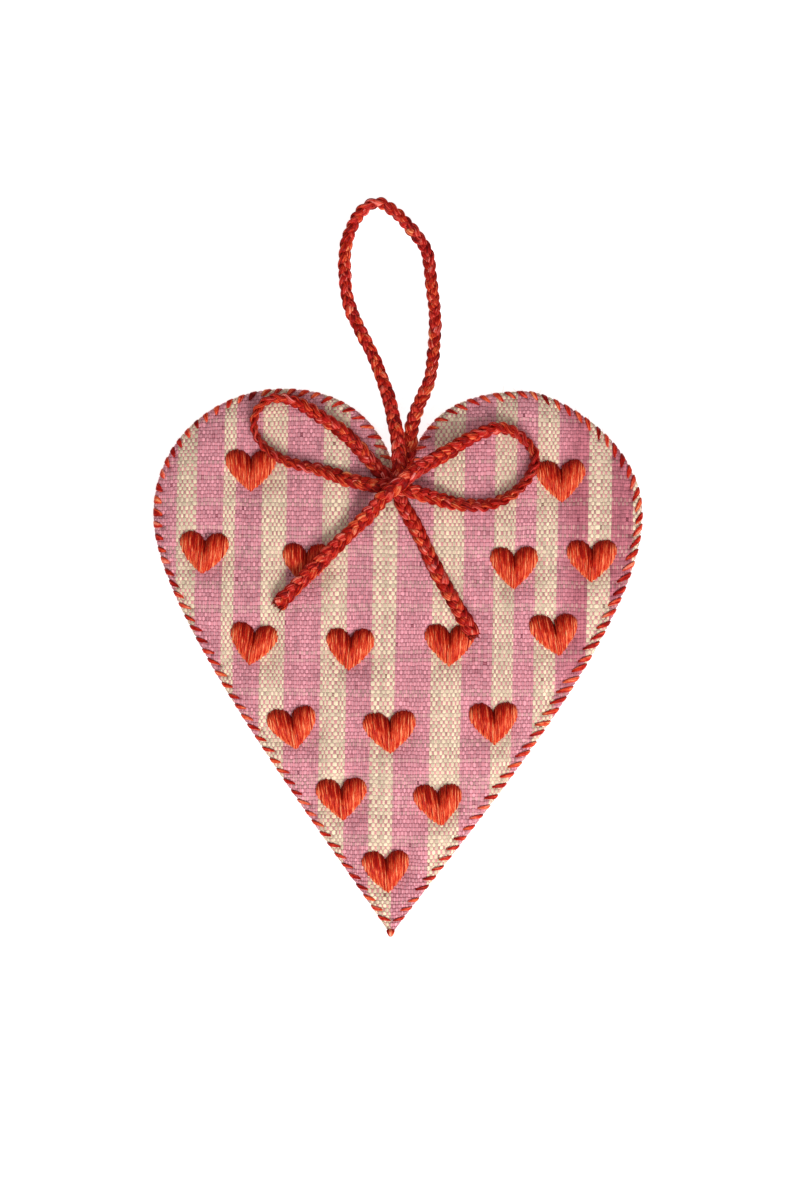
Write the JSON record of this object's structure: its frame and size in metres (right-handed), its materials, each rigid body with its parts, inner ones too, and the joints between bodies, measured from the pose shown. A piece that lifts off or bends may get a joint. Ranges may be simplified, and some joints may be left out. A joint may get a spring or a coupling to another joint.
{
  "type": "heart-shaped hanging ornament",
  "caption": "Flat padded heart in striped woven raffia with a whipped edge, small satin-stitched hearts, a plaited bow and a plaited hanging loop.",
  "frame": {"origin": "middle of the underside of the heart as it lies on its back, without the plaited cords", "axes": "+Z out of the front of the heart, +Y from its point towards its notch and hanging loop, +X to the right as seen from the front"},
  "size_m": [0.2028, 0.3035, 0.0235],
  "materials": {
    "striped_cloth": "plain-woven raffia cloth, matt, pink and cream warp stripes over a pink weft",
    "edge_thread": "flat red raffia thread, slight sheen",
    "satin_thread": "red raffia laid in satin stitch, silky sheen along the fibres",
    "plaited_raffia": "red raffia in three-strand plait, slight sheen along the fibres"
  },
  "bodies": {
    "root": {"heart_body": "striped_cloth", "edge_stitching_right": "edge_thread", "edge_stitching_left": "edge_thread", "embroidered_heart_01": "satin_thread", "embroidered_heart_02": "satin_thread", "embroidered_heart_03": "satin_thread", "embroidered_heart_04": "satin_thread", "embroidered_heart_05": "satin_thread", "embroidered_heart_06": "satin_thread", "embroidered_heart_07": "satin_thread", "embroidered_heart_08": "satin_thread", "embroidered_heart_09": "satin_thread", "embroidered_heart_10": "satin_thread", "embroidered_heart_11": "satin_thread", "embroidered_heart_12": "satin_thread", "embroidered_heart_13": "satin_thread", "embroidered_heart_14": "satin_thread", "embroidered_heart_15": "satin_thread", "embroidered_heart_16": "satin_thread", "hanging_loop": "plaited_raffia", "bow": "plaited_raffia"}
  },
  "joints": []
}
